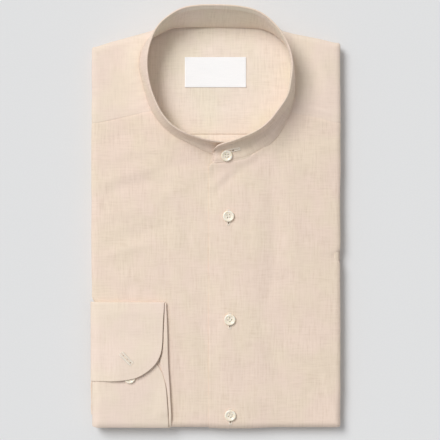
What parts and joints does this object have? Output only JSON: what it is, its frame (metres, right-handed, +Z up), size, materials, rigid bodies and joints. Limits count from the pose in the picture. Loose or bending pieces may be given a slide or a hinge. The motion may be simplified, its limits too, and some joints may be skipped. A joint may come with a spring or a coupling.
{
  "type": "folded mandarin collar shirt",
  "caption": "Long-sleeved linen shirt with a standing band collar and buttoned front, folded flat into a rectangular pack with one cuff laid on its face",
  "frame": {"origin": "centre of the folded shirt's outline, on the surface it lies on", "axes": "+Z up from the surface through the face of the fold, +Y from the bottom fold towards the collar along the longest side, +X towards the wearer's left front"},
  "size_m": [0.237, 0.395, 0.0499],
  "materials": {
    "cloth": "plain-woven linen in a warm sand beige, matt, with fine uneven slubs",
    "label": "blank white woven label, close satin weave",
    "button": "pale cream shell button, softly polished"
  },
  "bodies": {
    "root": {"folded_layers": "cloth", "front_left": "cloth", "front_right": "cloth", "yoke": "cloth", "yoke_inner": "cloth", "back": "cloth", "collar_band": "cloth", "cuff": "cloth", "sleeve": "cloth", "label": "label", "button_collar": "button", "button_front_1": "button", "button_front_2": "button", "button_front_3": "button", "button_cuff": "button"}
  },
  "joints": []
}
